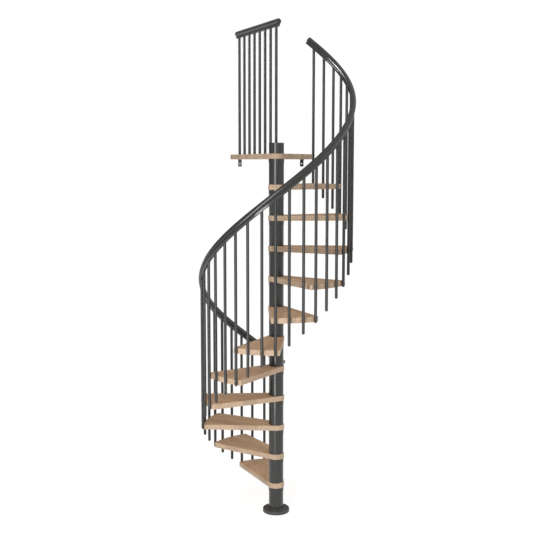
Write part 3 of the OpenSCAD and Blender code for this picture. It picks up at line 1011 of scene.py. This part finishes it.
class STAIR_OT_brackets(bpy.types.Operator):
    """Bent steel brackets under the landing's back edge, each with an open bolt hole"""

    bl_idname = "stair.brackets"
    bl_label = "Wall brackets"

    def execute(self, context):
        sizes = context.scene.stair_sizes
        low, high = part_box("landing_brackets")
        half = sizes.bracket_w / 2
        whole = bmesh.new()
        for x in (low.x + half, high.x - half):
            bm = self.bent_plate(sizes, high.y - low.y, high.z - low.z)
            bmesh.ops.translate(bm, verts=bm.verts, vec=(x, high.y, high.z))
            add_solid(whole, bm)
        make_piece(whole, "wall_brackets", "black_stove_paint", "black_steel", "landing_brackets")
        return {"FINISHED"}

    def bent_plate(self, sizes, reach, drop):
        """Angle with its outer corner at the origin, one leg forward and one leg down."""
        half = sizes.bracket_w / 2
        hole_z = -sizes.bracket_hole_drop
        bm = bmesh.new()
        verts = chain(bm, [(-half, -reach, 0), (-half, 0, 0), (-half, 0, -drop)])
        round_corners(bm, verts[1:2], sizes.bracket_bend, BEND_FLATS)
        out = bmesh.ops.extrude_edge_only(bm, edges=bm.edges[:])
        bmesh.ops.translate(bm, verts=verts_in(out["geom"]), vec=(sizes.bracket_w, 0, 0))
        # A square of plate around the hole is cut free and replaced by a ring
        patch = 0.6 * half
        for place, normal in (
            ((0, 0, hole_z + patch), UP), ((0, 0, hole_z - patch), UP),
            ((patch, 0, 0), Vector((1, 0, 0))), ((-patch, 0, 0), Vector((1, 0, 0))),
        ):
            bmesh.ops.bisect_plane(
                bm, geom=whole_shape(bm), dist=MERGE, plane_co=place, plane_no=normal,
            )
        middle = Vector((0, 0, hole_z))
        square = min(bm.faces, key=lambda f: (f.calc_center_median() - middle).length)
        border = square.edges[:]
        bmesh.ops.delete(bm, geom=[square], context="FACES_ONLY")
        bmesh.ops.subdivide_edges(bm, edges=border, cuts=HOLE_CUTS)
        border = [
            e for e in bm.edges
            if e.is_boundary
            and max(max(abs(v.co.x), abs(v.co.z - hole_z)) for v in e.verts) < patch + MERGE
        ]
        ring = bmesh.ops.create_circle(
            bm, cap_ends=False, radius=sizes.bracket_hole_d / 2, segments=len(border),
            matrix=Matrix.Translation(middle) @ Matrix.Rotation(math.pi / 2, 4, "X"),
        )
        circle = list(dict.fromkeys(e for v in ring["verts"] for e in v.link_edges))
        bmesh.ops.bridge_loops(bm, edges=border + circle)
        bmesh.ops.recalc_face_normals(bm, faces=bm.faces)
        if max(bm.faces, key=lambda f: f.calc_center_median().z).normal.z < 0:
            bmesh.ops.reverse_faces(bm, faces=bm.faces)
        bmesh.ops.solidify(bm, geom=bm.faces[:], thickness=sizes.bracket_t)
        close_solid(bm)
        return bm


class STAIR_OT_screws(bpy.types.Operator):
    """Screw heads that hold the balusters and the brackets"""

    bl_idname = "stair.screws"
    bl_label = "Screws"

    def execute(self, context):
        sizes = context.scene.stair_sizes
        places = []
        for step in range(1, STEP_COUNT + 1):
            middle = tread_top(step) - TREAD_T / 2
            for angle in (*step_angles(sizes, step), corner_angle(step + 1)):
                places.append(self.outward(angle, middle))
        low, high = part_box("landing_brackets")
        half = sizes.bracket_w / 2
        for x in (low.x + half, high.x - half):
            for share in BRACKET_SCREWS:
                y = high.y - share * (high.y - low.y)
                under = Vector((x, y, high.z - sizes.bracket_t))
                places.append(Matrix.Translation(under) @ Matrix.Rotation(math.pi, 4, "X"))
        bm = bmesh.new()
        for place in places:
            head = pan_head(sizes.screw_d / 2, SCREW_SIDES)
            bmesh.ops.transform(head, matrix=place, verts=head.verts)
            add_solid(bm, head)
        make_piece(bm, "pan_head_screws", "anthracite_matt_coat", "anthracite_steel")
        return {"FINISHED"}

    def outward(self, angle, z):
        """Matrix on the outside of a baluster, with its z pointing away from the pole."""
        place = Matrix.Translation(on_circle(ROD_CIRCLE + ROD_R, angle, z))
        return place @ Matrix.Rotation(angle, 4, "Z") @ Matrix.Rotation(math.pi / 2, 4, "Y")


# Area lights of the studio: place, target, width and height in metres, and spread
LIGHTS = {
    # Upright strip on the left, which draws the long highlight on the pole, the balusters and the rails
    "strip": ((-1.05, -2.6, 2.07), (0, 0, 2.07), (0.8, 4.1), math.pi),
    # Narrow light high on the left, for the inside of the rail at the top right
    "top": ((-1.27, 0.62, 4.29), (0.47, 0.34, 3.58), (0.5, 1.2), math.radians(40)),
    # Small light near the floor, which carries the pole's highlight down
    "foot": ((-0.45, -1.11, 0.26), (0, 0, 0.26), (0.34, 0.35), math.pi),
    # Broad light beside the camera, which softens the shade
    "front": ((1.5, -8.0, 3.0), (0, 0, 1.6), (4, 4), math.pi),
}


class STAIR_OT_stage(bpy.types.Operator):
    """Pale floor, white surround, studio lights and the camera"""

    bl_idname = "stair.stage"
    bl_label = "Stage"

    def execute(self, context):
        studio = context.scene.stair_studio
        self.floor(context.scene.stair_finish, studio)
        self.surround(studio)
        for name, setting in LIGHTS.items():
            self.light(name, getattr(studio, f"{name}_power"), *setting)
        self.camera(studio)
        context.scene.view_settings.view_transform = "Standard"
        return {"FINISHED"}

    def floor(self, finish, studio):
        """Pale matt floor, faintly mottled, bright enough to meet the surround."""
        bm = bmesh.new()
        bmesh.ops.create_grid(bm, x_segments=1, y_segments=1, size=FLOOR_HALF)
        mesh = bpy.data.meshes.new("floor")
        bm.to_mesh(mesh)
        bm.free()
        material, tree = new_finish("pale_studio_floor")
        place = add_node(tree, "ShaderNodeTexCoord").outputs["Object"]
        cloud = add_node(tree, "ShaderNodeTexNoise", {
            "Vector": place, "Scale": millimetres(700), "Detail": 3,
        })
        tone = add_node(tree, "ShaderNodeMix", {
            0: cloud.outputs["Fac"],
            6: rgba([0.97 * c for c in finish.floor]), 7: rgba(finish.floor),
        }, data_type="RGBA")
        shader = add_node(tree, "ShaderNodeBsdfPrincipled", {
            "Base Color": tone.outputs[2], "Roughness": 0.8, "Specular IOR Level": 0.2,
            "Emission Color": (1, 1, 1, 1), "Emission Strength": studio.floor_glow,
        })
        add_node(tree, "ShaderNodeOutputMaterial", {"Surface": shader.outputs["BSDF"]})
        mesh.materials.append(material)
        floor = bpy.data.objects.new("studio_floor", mesh)
        bpy.context.scene.collection.objects.link(floor)

    def surround(self, studio):
        """White to the eye all round. As light on the stair it is brighter in front, above and to the
        right, and dimmer behind, below and to the left."""
        world = bpy.data.worlds.new("white_surround")
        world.use_nodes = True
        tree = world.node_tree
        tree.nodes.clear()
        seen = add_node(tree, "ShaderNodeLightPath").outputs["Is Camera Ray"]
        toward = add_node(tree, "ShaderNodeVectorMath", {
            0: add_node(tree, "ShaderNodeTexCoord").outputs["Generated"], 1: BRIGHT_SIDE,
        }, operation="DOT_PRODUCT")
        glow = add_node(tree, "ShaderNodeMapRange", {
            "Value": toward.outputs["Value"], "From Min": -0.5, "From Max": 0.5,
            "To Min": studio.sky_back, "To Max": studio.sky,
        })
        strength = add_node(tree, "ShaderNodeMapRange", {
            "Value": seen, "To Min": glow.outputs["Result"], "To Max": 1,
        })
        white = add_node(tree, "ShaderNodeBackground", {
            "Color": (1, 1, 1, 1), "Strength": strength.outputs["Result"],
        })
        add_node(tree, "ShaderNodeOutputWorld", {"Surface": white.outputs["Background"]})
        bpy.context.scene.world = world

    def light(self, name, watts, place, target, size, spread):
        """Rectangular area light that the camera doesn't see."""
        data = bpy.data.lights.new(name, "AREA")
        data.shape = "RECTANGLE"
        data.size, data.size_y = size
        data.energy = watts
        data.spread = spread
        light = bpy.data.objects.new(name, data)
        light.location = place
        light.rotation_euler = (Vector(target) - Vector(place)).to_track_quat("-Z", "Y").to_euler()
        light.visible_camera = False
        bpy.context.scene.collection.objects.link(light)

    def camera(self, studio):
        """Camera at the picture's angle."""
        data = bpy.data.cameras.new("camera")
        data.sensor_width = SENSOR_W
        data.lens = studio.lens
        camera = bpy.data.objects.new("camera", data)
        camera.location = studio.camera_place
        camera.rotation_euler = (math.pi / 2 - studio.camera_pitch, 0, -studio.camera_yaw)
        bpy.context.scene.collection.objects.link(camera)
        bpy.context.scene.camera = camera


OPERATORS = (
    STAIR_OT_treads, STAIR_OT_landing, STAIR_OT_pole, STAIR_OT_base, STAIR_OT_balusters,
    STAIR_OT_handrail, STAIR_OT_landing_railing, STAIR_OT_brackets, STAIR_OT_screws, STAIR_OT_stage,
)


class STAIR_PT_panel(bpy.types.Panel):
    """Lists the stair's pieces and settings"""

    bl_idname = "STAIR_PT_panel"
    bl_label = "Spiral staircase"
    bl_space_type = "VIEW_3D"
    bl_region_type = "UI"
    bl_category = "Staircase"

    def draw(self, context):
        for operator in OPERATORS:
            self.layout.operator(operator.bl_idname)
        scene = context.scene
        for group in (scene.stair_sizes, scene.stair_finish, scene.stair_studio):
            column = self.layout.column()
            for name in group.__annotations__:
                column.prop(group, name)


CLASSES = (StairSizes, StairFinish, StairStudio, *OPERATORS, STAIR_PT_panel)


def register():
    """Adds the classes and the settings to Blender."""
    for cls in CLASSES:
        bpy.utils.register_class(cls)
    bpy.types.Scene.stair_sizes = PointerProperty(type=StairSizes)
    bpy.types.Scene.stair_finish = PointerProperty(type=StairFinish)
    bpy.types.Scene.stair_studio = PointerProperty(type=StairStudio)


def unregister():
    """Takes the settings and the classes out again."""
    del bpy.types.Scene.stair_studio
    del bpy.types.Scene.stair_finish
    del bpy.types.Scene.stair_sizes
    for cls in reversed(CLASSES):
        bpy.utils.unregister_class(cls)


def main():
    """Makes the stair and its stage."""
    register()
    bpy.ops.stair.treads()
    bpy.ops.stair.landing()
    bpy.ops.stair.pole()
    bpy.ops.stair.base()
    bpy.ops.stair.balusters()
    bpy.ops.stair.handrail()
    bpy.ops.stair.landing_railing()
    bpy.ops.stair.brackets()
    bpy.ops.stair.screws()
    bpy.ops.stair.stage()


if __name__ == "__main__":
    main()
